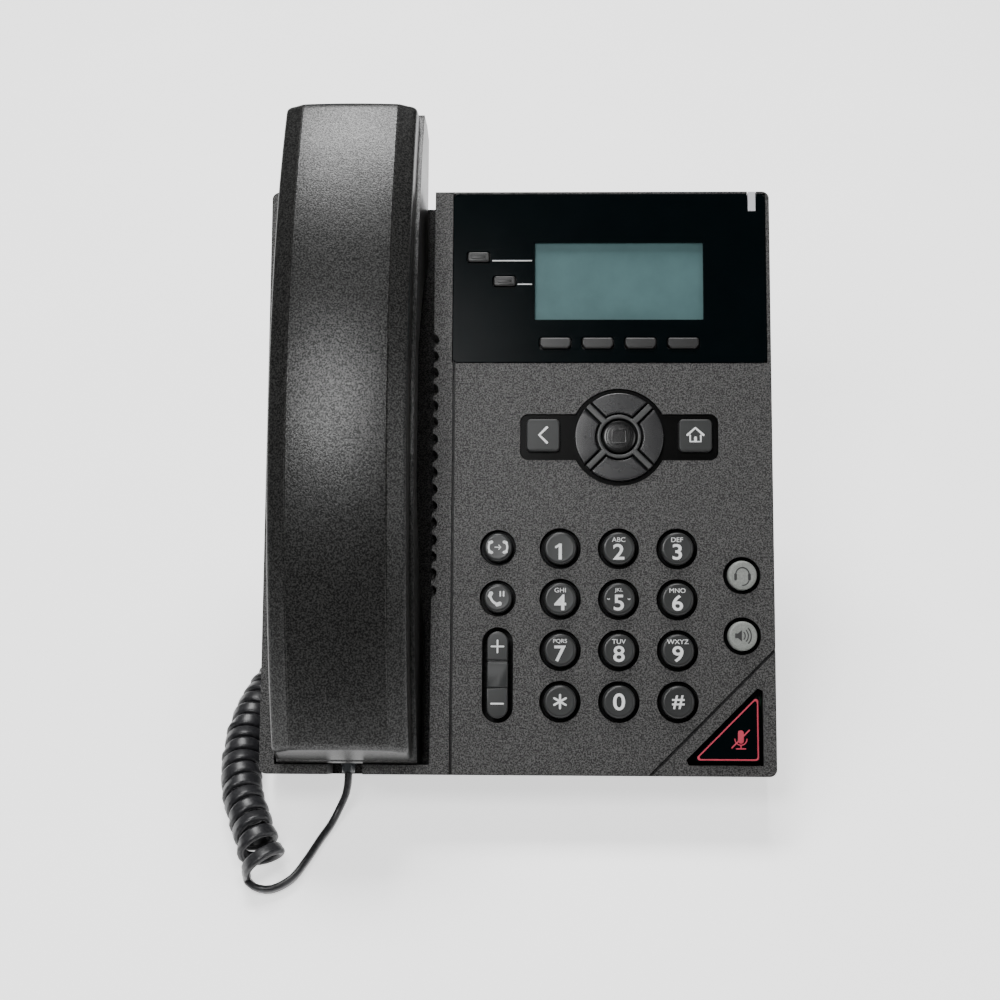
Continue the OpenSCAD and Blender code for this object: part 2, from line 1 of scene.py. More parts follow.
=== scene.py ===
"""Desk telephone with a handset and a curly cord, on a pale studio floor.

Pieces are drawn in the face frame, in millimetres: u across the face, v up the face and w out of it.
FACE stands them on the desk. The cord is drawn on the desk, in metres, along the CAD's route.
"""
import math

import bmesh
import bpy
from mathutils import Matrix, Vector
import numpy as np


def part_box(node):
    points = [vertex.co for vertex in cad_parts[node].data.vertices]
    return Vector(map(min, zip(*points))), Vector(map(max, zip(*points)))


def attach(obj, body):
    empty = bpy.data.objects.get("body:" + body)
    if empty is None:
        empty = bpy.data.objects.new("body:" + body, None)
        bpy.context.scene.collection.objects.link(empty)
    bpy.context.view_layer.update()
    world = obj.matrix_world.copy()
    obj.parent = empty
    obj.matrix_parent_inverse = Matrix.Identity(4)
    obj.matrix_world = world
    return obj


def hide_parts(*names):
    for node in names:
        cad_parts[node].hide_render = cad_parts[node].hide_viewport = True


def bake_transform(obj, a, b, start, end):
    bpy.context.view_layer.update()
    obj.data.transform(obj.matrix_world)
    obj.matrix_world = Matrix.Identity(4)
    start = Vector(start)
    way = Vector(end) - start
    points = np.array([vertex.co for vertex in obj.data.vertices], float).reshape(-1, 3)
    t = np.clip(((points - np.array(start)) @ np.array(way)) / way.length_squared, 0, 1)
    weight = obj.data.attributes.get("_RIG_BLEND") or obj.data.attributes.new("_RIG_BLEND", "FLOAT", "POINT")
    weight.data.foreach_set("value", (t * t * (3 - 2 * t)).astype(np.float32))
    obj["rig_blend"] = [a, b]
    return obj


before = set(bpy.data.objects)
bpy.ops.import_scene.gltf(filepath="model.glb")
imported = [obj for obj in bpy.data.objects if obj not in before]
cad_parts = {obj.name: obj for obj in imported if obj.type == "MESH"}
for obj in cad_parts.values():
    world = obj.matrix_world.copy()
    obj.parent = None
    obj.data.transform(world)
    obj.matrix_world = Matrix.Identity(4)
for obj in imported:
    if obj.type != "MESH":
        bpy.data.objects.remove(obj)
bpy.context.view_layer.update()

MM = 0.001
TILT = math.radians(40)
FACE_EDGE_Z = 0.022
FACE_EDGE_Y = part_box("front_housing")[0][1]
FACE = (
    Matrix.Translation((0, FACE_EDGE_Y, FACE_EDGE_Z))
    @ Matrix.Rotation(TILT, 4, "X")
    @ Matrix.Scale(MM, 4)
)

BODY_H = 200
FRONT_D = 24
DIAL_U = 33.8
DIAL_V = 24.4
PITCH_U = 19.6
PITCH_V = 17.1
NAV = (34.1, 113.85)
SIDE_KEY_V = 114.35
SIDE_REACH = 25.8


# ---------------------------------------------------------------- meshes

JOIN_WITHIN = 1e-4


def add_object(name, data):
    """New object, linked into the scene."""
    obj = bpy.data.objects.new(name, data)
    bpy.context.scene.collection.objects.link(obj)
    return obj


def arc(cu, cv, r, start, end, steps=12):
    """Points on an arc, in degrees, both ends included."""
    angles = [math.radians(start + (end - start) * i / steps) for i in range(steps + 1)]
    return [(cu + r * math.cos(a), cv + r * math.sin(a)) for a in angles]


def circle(cu, cv, r, steps=64):
    """Points round a circle."""
    return arc(cu, cv, r, 0, 360 - 360 / steps, steps - 1)


def rounded(u0, u1, v0, v1, r, steps):
    """Outline of a rectangle with round corners."""
    return (
        arc(u1 - r, v1 - r, r, 0, 90, steps)
        + arc(u0 + r, v1 - r, r, 90, 180, steps)
        + arc(u0 + r, v0 + r, r, 180, 270, steps)
        + arc(u1 - r, v0 + r, r, 270, 360, steps)
    )


def around(cu, cv, half_u, half_v, r, steps=8):
    """Rounded rectangle about a centre."""
    return rounded(cu - half_u, cu + half_u, cv - half_v, cv + half_v, r, steps)


def round_corners(points, radii, steps=6):
    """Outline through the corner points, each corner rounded to its radius."""
    out = []
    count = len(points)
    for i, r in enumerate(radii):
        corner = Vector(points[i])
        back = (Vector(points[i - 1]) - corner).normalized()
        ahead = (Vector(points[(i + 1) % count]) - corner).normalized()
        if r == 0:
            out.append(tuple(corner))
            continue
        half = back.angle(ahead) / 2
        reach = r / math.tan(half)
        centre = corner + (back + ahead).normalized() * (r / math.sin(half))
        first = corner + back * reach - centre
        last = corner + ahead * reach - centre
        turn = first.angle_signed(last)
        for k in range(steps + 1):
            out.append(tuple(centre + Matrix.Rotation(-turn * k / steps, 2) @ first))
    return out


def loops_curve(name, loops, thickness, edge):
    """Flat filled curve with rounded edges: its first loop is the outline and the others are holes."""
    curve = bpy.data.curves.new(name, "CURVE")
    curve.dimensions = "2D"
    curve.fill_mode = "BOTH"
    curve.extrude = thickness / 2 - edge
    curve.bevel_depth = edge
    curve.bevel_resolution = 2
    curve.offset = -edge
    for loop in loops:
        spline = curve.splines.new("POLY")
        spline.points.add(len(loop) - 1)
        for point, (u, v) in zip(spline.points, loop):
            point.co = (u, v, 0, 1)
        spline.use_cyclic_u = True
    return curve


def mesh_from(data, name):
    """Mesh of a curve or text, with its doubled points joined."""
    holder = add_object(name, data)
    bpy.context.view_layer.update()
    evaluated = holder.evaluated_get(bpy.context.evaluated_depsgraph_get())
    mesh = bpy.data.meshes.new_from_object(evaluated)
    bpy.data.objects.remove(holder)
    bm = bmesh.new()
    bm.from_mesh(mesh)
    bmesh.ops.remove_doubles(bm, verts=bm.verts, dist=JOIN_WITHIN)
    bm.to_mesh(mesh)
    bm.free()
    return mesh


def plate(name, loops, w0, w1, edge):
    """Plate between two depths, with rounded edges."""
    mesh = mesh_from(loops_curve(name, loops, w1 - w0, edge), name)
    mesh.transform(Matrix.Translation((0, 0, (w0 + w1) / 2)))
    return mesh


def finished_mesh(name, bm):
    """Mesh out of a bmesh, its faces turned outwards."""
    bmesh.ops.recalc_face_normals(bm, faces=bm.faces)
    mesh = bpy.data.meshes.new(name)
    bm.to_mesh(mesh)
    bm.free()
    return mesh


def lathe(name, profile, cu, cv, steps=64):
    """Solid turned about the face's normal at (cu, cv), from (radius, depth) points."""
    bm = bmesh.new()
    rings = []
    for r, w in profile:
        if r == 0:
            rings.append([bm.verts.new((cu, cv, w))])
        else:
            rings.append([bm.verts.new((u, v, w)) for u, v in circle(cu, cv, r, steps)])
    for low, high in zip(rings, rings[1:]):
        for k in range(steps):
            n = (k + 1) % steps
            if len(low) == 1:
                bm.faces.new((low[0], high[n], high[k]))
            elif len(high) == 1:
                bm.faces.new((low[k], low[n], high[0]))
            else:
                bm.faces.new((low[k], low[n], high[n], high[k]))
    return finished_mesh(name, bm)


def loft(name, rings):
    """Skin over rings of points, each ring closed on itself, with a cap at each end."""
    bm = bmesh.new()
    rows = [[bm.verts.new(p) for p in ring] for ring in rings]
    sides = len(rows[0])
    for low, high in zip(rows, rows[1:]):
        for k in range(sides):
            n = (k + 1) % sides
            bm.faces.new((low[k], low[n], high[n], high[k]))
    bm.faces.new(reversed(rows[0]))
    bm.faces.new(rows[-1])
    return finished_mesh(name, bm)


def joined(name, meshes):
    """One mesh out of several."""
    bm = bmesh.new()
    for mesh in meshes:
        bm.from_mesh(mesh)
        bpy.data.meshes.remove(mesh)
    mesh = bpy.data.meshes.new(name)
    bm.to_mesh(mesh)
    bm.free()
    return mesh


def smooth(obj, angle):
    """Smooth shading that keeps sharp edges above an angle, and keeps large flat faces flat."""
    obj.data.shade_smooth()
    obj.data.set_sharp_from_angle(angle=math.radians(angle))
    weighted = obj.modifiers.new("flat_faces", "WEIGHTED_NORMAL")
    weighted.keep_sharp = True


def piece(name, mesh, material, body, replaced, angle=35):
    """Mesh as an object on the face that rides on a CAD body and stands for the CAD nodes in replaced."""
    mesh.transform(FACE)
    obj = add_object(name, mesh)
    mesh.materials.clear()
    mesh.materials.append(material)
    smooth(obj, angle)
    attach(obj, body)
    for node in replaced:
        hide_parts(node)


# ---------------------------------------------------------------- materials

def shader(name, color, roughness, coat=0.0):
    """Material with a Principled shader; its nodes and shader are returned with it."""
    material = bpy.data.materials.new(name)
    material.use_nodes = True
    nodes = material.node_tree.nodes
    bsdf = nodes["Principled BSDF"]
    bsdf.inputs["Base Color"].default_value = (*color, 1)
    bsdf.inputs["Roughness"].default_value = roughness
    bsdf.inputs["Coat Weight"].default_value = coat
    return material, nodes, material.node_tree.links, bsdf


def grey(level):
    """Colour without a tint."""
    return (level, level, level)


def noise(nodes, links, coordinates, scale, detail, roughness=0.5):
    """Noise texture in object coordinates."""
    texture = nodes.new("ShaderNodeTexNoise")
    texture.inputs["Scale"].default_value = scale
    texture.inputs["Detail"].default_value = detail
    texture.inputs["Roughness"].default_value = roughness
    links.new(coordinates.outputs["Object"], texture.inputs["Vector"])
    return texture


def ramp(nodes, links, source, low, high, first, last):
    """Colour ramp between two positions."""
    node = nodes.new("ShaderNodeValToRGB")
    node.color_ramp.elements[0].position = low
    node.color_ramp.elements[1].position = high
    node.color_ramp.elements[0].color = (*first, 1)
    node.color_ramp.elements[1].color = (*last, 1)
    links.new(source, node.inputs["Fac"])
    return node


def bump(nodes, links, bsdf, source, strength, distance):
    """Bump on a shader's normal."""
    node = nodes.new("ShaderNodeBump")
    node.inputs["Strength"].default_value = strength
    node.inputs["Distance"].default_value = distance
    links.new(source, node.inputs["Height"])
    links.new(node.outputs["Normal"], bsdf.inputs["Normal"])


def patchy_gloss(nodes, links, bsdf, source, low, high):
    """Roughness that wanders between two values."""
    gloss = nodes.new("ShaderNodeMapRange")
    gloss.inputs["To Min"].default_value = low
    gloss.inputs["To Max"].default_value = high
    links.new(source, gloss.inputs["Value"])
    links.new(gloss.outputs["Result"], bsdf.inputs["Roughness"])


# Painted shade in grooves, key wells and scallops: how far the occlusion looks, where its ramp runs and how
# dark it gets.
GROOVE_SHADE_REACH = 0.0015
GROOVE_SHADE_RAMP = (0.62, 0.95)
GROOVE_SHADE_DARK = 0.02


def painted_crevice_shade(nodes, links, bsdf, color):
    """Painted shade: colour that darkens where walls stand close together, as in a groove."""
    hidden = nodes.new("ShaderNodeAmbientOcclusion")
    hidden.inputs["Distance"].default_value = GROOVE_SHADE_REACH
    hidden.samples = 8
    shade = ramp(nodes, links, hidden.outputs["AO"], *GROOVE_SHADE_RAMP, grey(GROOVE_SHADE_DARK), grey(1))
    mix = nodes.new("ShaderNodeMix")
    mix.data_type = "RGBA"
    mix.blend_type = "MULTIPLY"
    mix.inputs["Factor"].default_value = 1
    links.new(color, mix.inputs["A"])
    links.new(shade.outputs["Color"], mix.inputs["B"])
    links.new(mix.outputs["Result"], bsdf.inputs["Base Color"])


FLECK_RAMP = (0.4, 0.64)
PIT_RAMP = (0.4, 0.62)
MOULD_PATCH = 60
MOULD_GLOSS_SWING = 0.06


def moulded(name, dark, light, roughness, grain=2600, depth=0.00006, strength=0.5, pit=0.8, groove_shade=False):
    """Moulded plastic: fine grain with a lighter fleck, pits that shine less, patches in its gloss, and,
    when asked, painted shade darkening its grooves.
    """
    material, nodes, links, bsdf = shader(name, dark, roughness)
    at = nodes.new("ShaderNodeTexCoord")
    fine = noise(nodes, links, at, grain, 3)
    fleck = ramp(nodes, links, fine.outputs["Fac"], *FLECK_RAMP, dark, light)
    links.new(fleck.outputs["Color"], bsdf.inputs["Base Color"])
    # Painted shade darkens the grain in grooves, key wells and scallops.
    if groove_shade:
        painted_crevice_shade(nodes, links, bsdf, fleck.outputs["Color"])
    pits = ramp(nodes, links, fine.outputs["Fac"], *PIT_RAMP, grey(pit), grey(1))
    links.new(pits.outputs["Color"], bsdf.inputs["Specular Tint"])
    broad = noise(nodes, links, at, MOULD_PATCH, 4)
    low, high = roughness - MOULD_GLOSS_SWING, roughness + MOULD_GLOSS_SWING
    patchy_gloss(nodes, links, bsdf, broad.outputs["Fac"], low, high)
    bump(nodes, links, bsdf, fine.outputs["Fac"], strength, depth)
    return material


GLOSSY_PATCH = 90
GLOSSY_DULL = 0.86
GLOSSY_RAMP = (0.35, 0.65)
GLOSSY_SMOOTHER = 0.03
GLOSSY_ROUGHER = 0.05
SMOOTHEST = 0.01
RIPPLE_STRENGTH = 0.15
RIPPLE_DEPTH = 0.00001


def glossy(name, color, roughness, coat=0.0, specular=0.5, metallic=0.0):
    """Polished plastic or metal with a faint ripple, and patches in its colour and gloss."""
    material, nodes, links, bsdf = shader(name, color, roughness, coat)
    bsdf.inputs["Specular IOR Level"].default_value = specular
    bsdf.inputs["Metallic"].default_value = metallic
    at = nodes.new("ShaderNodeTexCoord")
    broad = noise(nodes, links, at, GLOSSY_PATCH, 5, 0.6)
    dull = [GLOSSY_DULL * part for part in color]
    tone = ramp(nodes, links, broad.outputs["Fac"], *GLOSSY_RAMP, dull, color)
    links.new(tone.outputs["Color"], bsdf.inputs["Base Color"])
    low, high = max(roughness - GLOSSY_SMOOTHER, SMOOTHEST), roughness + GLOSSY_ROUGHER
    patchy_gloss(nodes, links, bsdf, broad.outputs["Fac"], low, high)
    bump(nodes, links, bsdf, broad.outputs["Fac"], RIPPLE_STRENGTH, RIPPLE_DEPTH)
    return material


# Housing grain, with painted shade darkening its grooves, key wells and scallops.
SHELL = moulded(
    "shell_grain_groove_shade", grey(0.0105), (0.069, 0.0675, 0.066), 0.5,
    grain=2200, depth=0.0001, strength=1.0, pit=0.5, groove_shade=True,
)
BACK = moulded("back_grain", grey(0.022), grey(0.045), 0.6)
HANDSET = moulded(
    "handset_satin", grey(0.003), (0.022, 0.022, 0.021), 0.34,
    grain=1800, depth=0.00008, strength=0.8, pit=0.4,
)
KEY = glossy("key_satin_dark", (0.023, 0.024, 0.024), 0.3, specular=0.35)
KEY_SIDE = glossy("key_satin_grey", (0.026, 0.027, 0.027), 0.4, specular=0.25)
KEY_BAR = glossy("key_bar", (0.024, 0.025, 0.025), 0.4)
KEY_ARC = glossy("key_arc", (0.012, 0.012, 0.013), 0.26)
KEY_PANEL = glossy("key_panel", grey(0.014), 0.36, specular=0.35)
KEY_PALE = moulded(
    "key_pale", (0.17, 0.18, 0.168), (0.22, 0.23, 0.215), 0.42,
    grain=2000, depth=0.00001, strength=0.2,
)
# Near-black with almost no shine: the key feet and the navigation base are dark parts, made darker still as
# painted shade in the wells and gaps round the keys.
WELL_SHADE = glossy("well_black_shade", grey(0.0015), 0.3, specular=0.06)
NAV_OK = glossy("nav_ok_dark", grey(0.006), 0.22)
GLASS = glossy("panel_black", (0.0008, 0.0024, 0.003), 0.2, specular=0.03)
SCREEN = glossy("screen_glass", (0.066, 0.125, 0.13), 0.35, specular=0.1)
LEGEND = glossy("legend_white", (0.75, 0.76, 0.76), 0.45)
RED = glossy("legend_red", (0.5, 0.035, 0.07), 0.4)
INK = glossy("legend_dark", grey(0.02), 0.4)
LIGHT = glossy("light_guide", (0.55, 0.55, 0.58), 0.25)
RUBBER = moulded("rubber_black", grey(0.01), grey(0.02), 0.75, grain=1200)
CORD = moulded(
    "cord_vinyl", (0.014, 0.014, 0.016), (0.022, 0.022, 0.024), 0.38,
    grain=900, depth=0.00001, strength=0.2,
)
BOARD = glossy("solder_mask", (0.01, 0.08, 0.03), 0.4)
CONNECTOR = glossy("connector_black", grey(0.012), 0.35)
PLUG = glossy("plug_smoke", (0.05, 0.055, 0.06), 0.12, coat=0.3)
STEEL = glossy("steel", grey(0.5), 0.3, metallic=1.0)


# ---------------------------------------------------------------- camera

SENSOR = 36
LENS_PER_WIDTH = 1.81
NEAREST = 0.05
FURTHEST = 20
CAMERA_AT = Vector((10.9, 8.0, 606.8))
PITCH = 0.1379
YAW = 0.0277
ROLL = 0.0043


def make_camera():
    """Camera as the photograph was taken, nearly square to the face."""
    data = bpy.data.cameras.new("camera")
    data.sensor_width = SENSOR
    data.lens = SENSOR * LENS_PER_WIDTH
    data.clip_start = NEAREST
    data.clip_end = FURTHEST
    obj = add_object("camera", data)
    turn = Vector((PITCH, YAW, ROLL))
    local = Matrix.Rotation(turn.length, 4, turn.normalized())
    world = Matrix.Rotation(TILT, 4, "X") @ local
    world.translation = FACE @ CAMERA_AT
    obj.matrix_world = world
    bpy.context.scene.camera = obj


make_camera()


# ---------------------------------------------------------------- cord

# Lengths in metres, angles in degrees.
CORD_W = 0.0048
CORD_T = 0.0024
COIL_R = 0.0058
COIL_PITCH = 0.0055
END_LEAN = 26
COIL_LEAD = 0.004
PATH_STEP = 0.002
AXIS_STEP = 0.004
TURN_STEPS = 20
FIRST_ANGLE = 195
LEAN_FADE = 1.1
LOOSENED = 0.12
PULLED_APART = 0.9
IN_COIL = 0.0075
NO_LENGTH = 1e-4
TAIL_LEVEL = (0, -0.6, 0.8)
TAIL_TURN = 0.2
COIL_TURN = 0.45
PLUG_GRIP = 0.004
DRAWN = 0.3

# Sockets, in millimetres in the face frame.
JACK_U = -6
JACK_V = 70
JACK_W = (-FRONT_D - 12, -FRONT_D - 10)
SOCKET_U = -57.3
SOCKET_V = (0.4, -1.6)
SOCKET_W = -11.5

# Routes, in millimetres from the face's lower edge.
COIL_ROUTE = [
    (-82, -27, 8), (-86, -17, 8), (-89, -9, 8), (-93, 2, 8), (-95, 14, 8), (-95, 28, 8),
    (-93, 41, 8), (-88, 54, 8), (-79, 67, 8), (-66, 77, 8), (-50, 83, 8), (-34, 85, 8),
]
HANDSET_TAIL = [
    (-58, 3, 8.5), (-60.5, -1, 4.4), (-63, -6, 2.4), (-66, -12, 2.2), (-70, -21, 2.2),
    (-74, -28, 2.2), (-80, -32, 2.2), (-85.5, -31.5, 2.6),
]
BASE_TAIL = [(-7, 82, 31), (-10, 87, 20), (-17, 88, 12), (-25, 86.5, 8.6)]


def on_desk(p):
    """Route point, in millimetres from the face's lower edge, as a place on the desk."""
    return Vector((p[0] * MM, p[1] * MM + FACE_EDGE_Y, p[2] * MM))


def curve_through(points, step):
    """Smooth curve through points (Catmull-Rom), with a point about every step."""
    out = []
    last = len(points) - 1
    for i in range(last):
        a, b, c, d = points[max(i - 1, 0)], points[i], points[i + 1], points[min(i + 2, last)]
        count = max(2, round((c - b).length / step))
        for k in range(count):
            f = k / count
            bend = 2 * a - 5 * b + 4 * c - d
            twist = 3 * b - a - 3 * c + d
            out.append(0.5 * (2 * b + (c - a) * f + bend * f * f + twist * f ** 3))
    out.append(points[last])
    return out


def walk(points):
    """Distance along a line at each of its points."""
    total = [0.0]
    for a, b in zip(points, points[1:]):
        total.append(total[-1] + (b - a).length)
    return total


def at_distance(points, total, s):
    """Place and heading at a distance along a line."""
    s = min(max(s, 0), total[-1])
    i = 0
    while i < len(total) - 2 and total[i + 1] < s:
        i += 1
    f = (s - total[i]) / (total[i + 1] - total[i])
    place = points[i].lerp(points[i + 1], f)
    before, after = points[max(i - 1, 0)], points[min(i + 2, len(points) - 1)]
    return place, (after - before).normalized()


def opened(turn):
    """Place of a turn along the coil, in turns, with the first ones pulled apart."""
    return turn + PULLED_APART * (1 - math.exp(-turn))


def helix():
    """Centre line of the coil, from its open front turns to the end under the phone."""
    route = curve_through([on_desk(p) for p in COIL_ROUTE], PATH_STEP)
    total = walk(route)
    turns = round((total[-1] - COIL_LEAD) / COIL_PITCH)
    out = []
    up = Vector((0, 0, 1))
    for k in range(turns * TURN_STEPS + 1):
        turn = k / TURN_STEPS
        share = opened(turn) / opened(turns)
        place, heading = at_distance(route, total, share * total[-1])
        side = heading.cross(up).normalized()
        lean = math.radians(END_LEAN) * math.exp(-turn / LEAN_FADE)
        rise = side.cross(heading).normalized() * math.cos(lean) - heading * math.sin(lean)
        angle = math.radians(FIRST_ANGLE) - 2 * math.pi * turn
        loose = 1 + LOOSENED * math.exp(-turn)
        out.append(place + COIL_R * loose * (math.cos(angle) * side + math.sin(angle) * rise))
    return out


def cord_path():
    """The whole cord's centre line, from the handset's plug to the plug in the base."""
    coil = helix()
    leave = [FACE @ Vector((SOCKET_U, v, SOCKET_W)) for v in SOCKET_V]
    tail = leave + [on_desk(p) for p in HANDSET_TAIL]
    into = coil[0] - (coil[2] - coil[0]).normalized() * COIL_LEAD
    front = curve_through(tail + [into, coil[0]], PATH_STEP)
    root = [FACE @ Vector((JACK_U, JACK_V, w)) for w in JACK_W]
    back = [on_desk(p) for p in reversed(BASE_TAIL)]
    rear = curve_through([coil[-1]] + back + root, PATH_STEP)
    return front[:-1] + coil + rear[1:]


def oval(width, thickness):
    """Cross-section of the flat cord."""
    half = (width - thickness) / 2
    right = [(half + x, y) for x, y in arc(0, 0, thickness / 2, -90, 90, 6)]
    left = [(-half + x, y) for x, y in arc(0, 0, thickness / 2, 90, 270, 6)]
    return right + left


def cord_mesh(path):
    """Flat cord swept along its path: its flat side faces out of the coil, and lies level in the tails."""
    section = oval(CORD_W, CORD_T)
    rings = []
    coil_axis = curve_through([on_desk(p) for p in COIL_ROUTE], AXIS_STEP)
    flat = None
    for i, place in enumerate(path):
        heading = (path[min(i + 1, len(path) - 1)] - path[max(i - 1, 0)]).normalized()
        near = min(coil_axis, key=lambda q: (q - place).length)
        out = place - near
        outward = out - heading * out.dot(heading)
        if out.length < IN_COIL and outward.length > NO_LENGTH:
            wish = outward.normalized()
        else:
            wish = heading.cross(Vector(TAIL_LEVEL)).normalized()
            if flat is not None:
                nudge = TAIL_TURN if flat.dot(wish) > 0 else -TAIL_TURN
                wish = flat * (1 - TAIL_TURN) + wish * nudge
            wish = (wish - heading * wish.dot(heading)).normalized()
        if flat is not None:
            if wish.dot(flat) < 0:
                wish = -wish
            wish = flat * (1 - COIL_TURN) + wish * COIL_TURN
            wish = (wish - heading * wish.dot(heading)).normalized()
        flat = wish
        across = flat.cross(heading)
        rings.append([place + across * a + flat * b for a, b in section])
    return loft("handset_cord", rings)


def follow_handset(obj, path):
    """Let the handset draw the cord's tail and its first turns after it; the rest stays with the base."""
    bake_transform(obj, "base", "handset", path[-1], path[0])
    sides = len(oval(CORD_W, CORD_T))
    share = [max(0.0, 1 - max(0.0, s - PLUG_GRIP) / DRAWN) ** 2 for s in walk(path)]
    attribute = obj.data.attributes["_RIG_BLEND"]
    for point, value in enumerate(attribute.data):
        value.value = share[min(point // sides, len(share) - 1)]


def make_cord():
    """Handset cord with its coil and both tails."""
    path = cord_path()
    mesh = cord_mesh(path)
    obj = add_object("handset_cord", mesh)
    mesh.materials.append(CORD)
    smooth(obj, 60)
    follow_handset(obj, path)
    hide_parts("cord_coil", "cord_tail_handset", "cord_tail_base")


make_cord()


# ---------------------------------------------------------------- lettering and icons

CAP_TOP = 2.0
LEGEND_RISE = 0.06
LETTER_WIDEN = 1.1
LETTER_EXTRUDE = 0.02


def lettering(name, text, height, cu, cv, weight=0.015):
    """Characters printed on a round key, centred at a place and scaled to a height."""
    data = bpy.data.curves.new(name, "FONT")
    data.body = text
    data.extrude = LETTER_EXTRUDE
    data.offset = weight
    mesh = mesh_from(data, name)
    us = [vert.co.x for vert in mesh.vertices]
    vs = [vert.co.y for vert in mesh.vertices]
    scale = height / (max(vs) - min(vs))
    rise = LEGEND_RISE / (2 * LETTER_EXTRUDE)
    mesh.transform(Matrix.Translation((-(max(us) + min(us)) / 2, -(max(vs) + min(vs)) / 2, 0)))
    mesh.transform(Matrix.Diagonal((scale * LETTER_WIDEN, scale, rise, 1)))
    mesh.transform(Matrix.Translation((cu, cv, CAP_TOP)))
    return mesh


def stroke(name, points, width, w=CAP_TOP):
    """Flat printed line of one width, with round ends."""
    r = width / 2
    data = bpy.data.curves.new(name, "CURVE")
    data.dimensions = "3D"
    data.bevel_depth = r
    data.bevel_resolution = 3
    spline = data.splines.new("POLY")
    spline.points.add(len(points) - 1)
    for point, (u, v) in zip(spline.points, points):
        point.co = (u, v, 0, 1)
    line = mesh_from(data, name)
    ends = [lathe(name, [(r, -r), (r, r), (0, r)], u, v, 16) for u, v in (points[0], points[-1])]
    mesh = joined(name, [line] + ends)
    mesh.transform(Matrix.Diagonal((1, 1, LEGEND_RISE / width, 1)))
    mesh.transform(Matrix.Translation((0, 0, w)))
    return mesh


def turned(points, cu, cv, angle):
    """Points about the origin, turned and moved to a place."""
    c, s = math.cos(math.radians(angle)), math.sin(math.radians(angle))
    return [(cu + c * x - s * y, cv + s * x + c * y) for x, y in points]


def handset_icon(name, cu, cv, length, angle):
    """Small telephone handset seen from the side, opening towards +u before it is turned."""
    r = length * 0.62
    grip = arc(r * 0.8, 0, r, 130, 230)
    lines = [stroke(name, turned(grip, cu, cv, angle), length * 0.15)]
    for side in (1, -1):
        pad = [(-0.04 * length, side * 0.36 * length), (0.12 * length, side * 0.42 * length)]
        lines.append(stroke(name, turned(pad, cu, cv, angle), length * 0.24))
    return joined(name, lines)


# ---------------------------------------------------------------- keys

KEY_LETTERS = ["", "ABC", "DEF", "GHI", "JKL", "MNO", "PQRS", "TUV", "WXYZ"]
FLANGE = -2.7
POST_END = -5.8
CAP_R = 4.95
CAP_BASE_R = 5.55
SKIRT = -0.6
FLANGE_D = 1.1
POST_R = 2
DIGIT_H = 5.3
LETTER_H = 1.5


def cap_profile(top_r, base_r):
    """Turned profile of a round key's cap, from the underside of its skirt to the middle of its top."""
    top = CAP_TOP
    return [
        (0, SKIRT), (base_r, SKIRT), (base_r, 0.4), (base_r - 0.12, top - 0.75),
        (top_r + 0.3, top - 0.3), (top_r + 0.05, top - 0.1), (top_r - 0.35, top),
        (top_r - 0.75, top - 0.02), (top_r - 1.3, top - 0.05), (0, top - 0.05),
    ]


def foot_profile(base_r):
    """Turned profile of a round key's dark foot: post, flange and the neck under the cap."""
    flange_r = base_r + 1
    neck_r = base_r - 0.05
    return [
        (0, POST_END), (POST_R, POST_END), (POST_R, FLANGE - FLANGE_D), (flange_r, FLANGE - FLANGE_D),
        (flange_r, FLANGE), (neck_r, FLANGE), (neck_r, SKIRT), (0, SKIRT),
    ]


def round_key(name, cu, cv, top_r, base_r, material, legends, ink):
    """Round key: its cap, its foot and what is printed on it."""
    piece(name + "_cap", lathe(name, cap_profile(top_r, base_r), cu, cv), material, name, [name])
    # The foot is near black, partly as painted shade in the gap round the cap.
    piece(name + "_foot", lathe(name, foot_profile(base_r), cu, cv), WELL_SHADE, name, ())
    piece(name + "_legend", joined(name, legends), ink, name, ())


def dial_key(name, cu, cv, legends):
    """Round key of the dial's size and finish."""
    round_key(name, cu, cv, CAP_R, CAP_BASE_R, KEY, legends, LEGEND)


def dial_keys():
    """Twelve dial keys with their digits and letters."""
    for i in range(9):
        name = f"key_{i + 1}"
        cu = DIAL_U + (i % 3 - 1) * PITCH_U
        cv = DIAL_V + (3 - i // 3) * PITCH_V
        marks = [lettering(name, str(i + 1), DIGIT_H, cu, cv - 1.2)]
        if i == 0:
            marks.append(stroke(name, [(cu - 1.4, cv + 0.3), (cu - 0.1, cv + 1.15)], 0.75))
        if KEY_LETTERS[i]:
            marks.append(lettering(name, KEY_LETTERS[i], LETTER_H, cu, cv + 2.9, weight=0))
        if i == 4:
            for side in (-1, 1):
                locator = arc(cu + side * 3.4, cv + 0.2, 0.35, 200, 340, 6)
                marks.append(stroke(name, locator, 0.25))
        dial_key(name, cu, cv, marks)
    left, right = DIAL_U - PITCH_U, DIAL_U + PITCH_U
    arm = [(-2.2, 0), (2.2, 0)]
    star = [stroke("star", turned(arm, left, DIAL_V, turn), 0.7) for turn in (30, 90, 150)]
    dial_key("key_star", left, DIAL_V, star)
    dial_key("key_0", DIAL_U, DIAL_V, [lettering("nought", "0", 5.6, DIAL_U, DIAL_V)])
    dial_key("key_hash", right, DIAL_V, [lettering("hash", "#", 4.5, right, DIAL_V)])


CALL_U = -6.75
TRANSFER_V = 75.9
HOLD_V = 58.8
CALL_R = 4.25
CALL_BASE_R = 4.85


